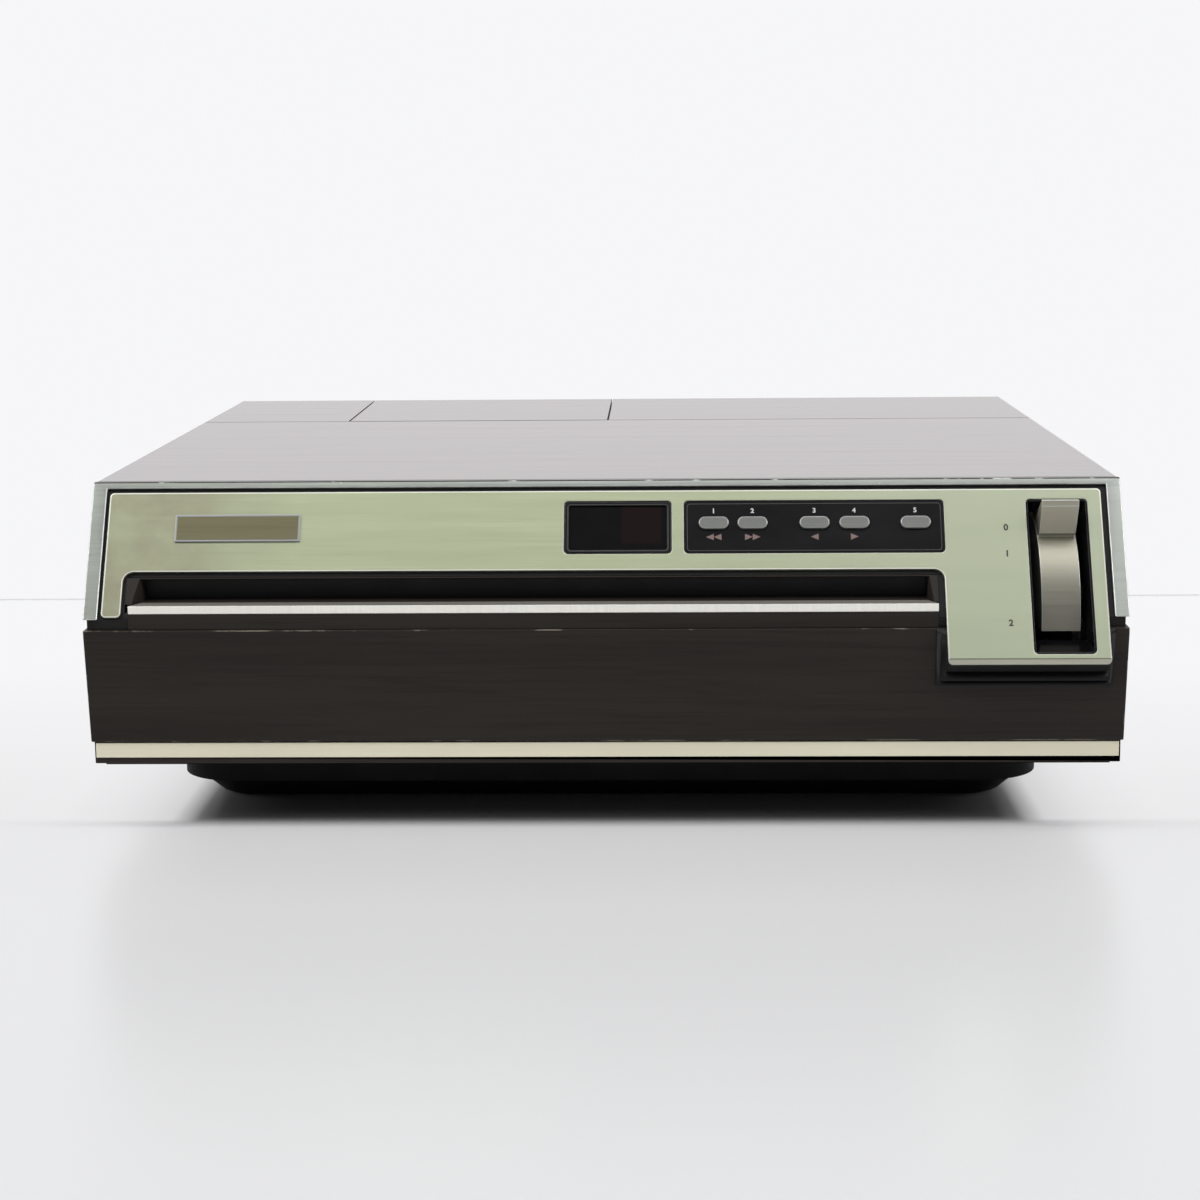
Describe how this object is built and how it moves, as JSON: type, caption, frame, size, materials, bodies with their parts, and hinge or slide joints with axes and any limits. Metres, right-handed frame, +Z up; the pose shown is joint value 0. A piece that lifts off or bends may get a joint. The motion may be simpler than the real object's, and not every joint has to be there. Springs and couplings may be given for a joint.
{
  "type": "videodisc player",
  "caption": "Front-loading videodisc player with a caddy slot, sloping metal control panel, function lever, push-buttons and a rear stylus hatch.",
  "frame": {"origin": "on the table under the middle of the cabinet: bottom centre of the bounding box", "axes": "+X to the right seen from the front, along the width; +Y from the front to the rear; +Z up"},
  "size_m": [0.432, 0.3935, 0.146],
  "materials": {
    "base_plastic": "grained black moulding",
    "foot_rubber": "matt rubber",
    "cabinet_lower": "dark brown wood-grain moulding",
    "moulding": "dark brown wood-grain moulding",
    "strip_metal": "satin champagne",
    "band_plastic": "matt black moulding",
    "cover_vinyl": "brown wood-grain vinyl",
    "pin_steel": "turned steel",
    "frame_metal": "brushed grey aluminium",
    "black_plastic": "satin black moulding",
    "face_metal": "brushed champagne green",
    "badge": "dark brushed with bright rim",
    "gloss_black": "gloss black",
    "smoked_lens": "smoked red",
    "led_red": "unlit red digits",
    "button_grey": "metallic grey",
    "board_green": "printed board",
    "lever_nickel": "satin nickel",
    "bracket_steel": "plated sheet steel",
    "throat_brown": "matt brown moulding",
    "bar_metal": "cross-brushed bright",
    "rear_board": "dark hardboard",
    "screw_steel": "plated",
    "cast_metal": "cast",
    "mat_rubber": "matt",
    "motor_paint": "grey paint",
    "brass_pulley": "turned",
    "pad_felt": "felt",
    "cartridge_plastic": "black moulding",
    "pinion_nylon": "natural nylon",
    "core_steel": "varnished laminations",
    "shield_can": "tinned can"
  },
  "bodies": {
    "cabinet": {"base_pan": "base_plastic", "rubber_feet": "foot_rubber", "lower_cabinet": "cabinet_lower", "bottom_moulding": "moulding", "trim_strip": "strip_metal", "mid_frame": "band_plastic", "top_cover": "cover_vinyl", "rear_top_cover": "cover_vinyl", "stylus_door_pins": "pin_steel", "front_frame": "frame_metal", "panel_carrier": "black_plastic", "faceplate": "face_metal", "badge_plate": "badge", "display_bezel": "gloss_black", "display_lens": "smoked_lens", "display_module": "led_red", "button_bezel": "gloss_black", "button_board": "board_green", "lever_bezel": "gloss_black", "lever_brackets": "bracket_steel", "slot_throat": "throat_brown", "trim_bar": "bar_metal", "slot_lip": "cabinet_lower", "caddy_door_pins": "pin_steel", "corner_shroud": "black_plastic", "rear_panel": "rear_board", "cabinet_screws": "screw_steel", "cord_gland": "foot_rubber", "chassis_posts": "pin_steel", "chassis_plate": "bracket_steel", "turntable_bearing": "cast_metal", "drive_motor": "motor_paint", "drive_belt": "mat_rubber", "caddy_rail_left": "band_plastic", "caddy_rail_right": "band_plastic", "carriage_deck": "bracket_steel", "carriage_rods": "pin_steel", "carriage_motor": "motor_paint", "main_board": "board_green", "power_transformer": "core_steel", "rf_modulator": "shield_can"},
    "function_lever": {"function_lever": "lever_nickel", "lever_shaft": "pin_steel"},
    "caddy_door": {"caddy_door": "black_plastic"},
    "lifter": {"lifter_frame": "bracket_steel", "receiver_pads": "pad_felt"},
    "rapid_reverse_button": {"rapid_reverse_button": "button_grey"},
    "rapid_forward_button": {"rapid_forward_button": "button_grey"},
    "search_reverse_button": {"search_reverse_button": "button_grey"},
    "search_forward_button": {"search_forward_button": "button_grey"},
    "pause_button": {"pause_button": "button_grey"},
    "stylus_door": {"stylus_door": "cover_vinyl"},
    "turntable": {"turntable": "cast_metal", "turntable_mat": "mat_rubber"},
    "motor_pulley": {"motor_pulley": "brass_pulley"},
    "pickup_carriage": {"pickup_carriage": "cast_metal"},
    "carriage_pinion": {"carriage_pinion": "pinion_nylon"},
    "pickup_arm": {"pickup_arm": "bracket_steel", "stylus_cartridge": "cartridge_plastic"},
    "channel_switch": {"channel_switch": "black_plastic"}
  },
  "joints": [
    {"name": "lever_turn", "type": "hinge", "parent": "cabinet", "child": "function_lever", "pos_m": [0.18885, -0.13687, 0.08643], "axis": [1, 0, 0], "range_deg": [0, 52]},
    {"name": "door_swing", "type": "hinge", "parent": "cabinet", "child": "caddy_door", "pos_m": [-0.03, -0.166, 0.1115], "axis": [1, 0, 0], "range_deg": [0, 85]},
    {"name": "lifter_rise", "type": "slide", "parent": "cabinet", "child": "lifter", "axis": [0, 0, 1], "range_m": [0, 0.0045]},
    {"name": "rapid_reverse_press", "type": "slide", "parent": "cabinet", "child": "rapid_reverse_button", "axis": [0, 0.8673, -0.4977], "range_m": [0, 0.0015], "stiffness_N_per_m": 300, "springref_m": -0.002},
    {"name": "rapid_forward_press", "type": "slide", "parent": "cabinet", "child": "rapid_forward_button", "axis": [0, 0.8673, -0.4977], "range_m": [0, 0.0015], "stiffness_N_per_m": 300, "springref_m": -0.002},
    {"name": "search_reverse_press", "type": "slide", "parent": "cabinet", "child": "search_reverse_button", "axis": [0, 0.8673, -0.4977], "range_m": [0, 0.0015], "stiffness_N_per_m": 300, "springref_m": -0.002},
    {"name": "search_forward_press", "type": "slide", "parent": "cabinet", "child": "search_forward_button", "axis": [0, 0.8673, -0.4977], "range_m": [0, 0.0015], "stiffness_N_per_m": 300, "springref_m": -0.002},
    {"name": "pause_press", "type": "slide", "parent": "cabinet", "child": "pause_button", "axis": [0, 0.8673, -0.4977], "range_m": [0, 0.0015], "stiffness_N_per_m": 300, "springref_m": -0.002},
    {"name": "stylus_door_open", "type": "hinge", "parent": "cabinet", "child": "stylus_door", "pos_m": [-0.0715, 0.191, 0.14], "axis": [-1, 0, 0], "range_deg": [0, 95]},
    {"name": "turntable_spin", "type": "hinge", "parent": "cabinet", "child": "turntable", "pos_m": [-0.02925, -0.005, 0.094], "axis": [0, 0, 1], "continuous": true},
    {"name": "motor_spin", "type": "hinge", "parent": "cabinet", "child": "motor_pulley", "pos_m": [0.04079, 0.05918, 0.08], "axis": [0, 0, 1], "continuous": true},
    {"name": "carriage_travel", "type": "slide", "parent": "cabinet", "child": "pickup_carriage", "axis": [0, -1, 0], "range_m": [0, 0.085]},
    {"name": "pinion_turn", "type": "hinge", "parent": "cabinet", "child": "carriage_pinion", "pos_m": [0.021, 0.09, 0.121], "axis": [0, 0, 1], "range_deg": [0, 610]},
    {"name": "arm_lower", "type": "hinge", "parent": "pickup_carriage", "child": "pickup_arm", "pos_m": [-0.128, 0.147, 0.124], "axis": [0, 1, 0], "range_deg": [0, 9], "stiffness_Nm_per_rad": 0.12, "springref_deg": -34.38},
    {"name": "channel_slide", "type": "slide", "parent": "cabinet", "child": "channel_switch", "axis": [1, 0, 0], "range_m": [0, 0.004]}
  ],
  "couplings": [
    {"joint": "door_swing", "follows": "lever_turn", "ratio": 1.6346},
    {"joint": "lifter_rise", "follows": "lever_turn", "m_per_rad": 0.0049578},
    {"joint": "motor_spin", "follows": "turntable_spin", "ratio": 4},
    {"joint": "pinion_turn", "follows": "carriage_travel", "rad_per_m": 125}
  ]
}
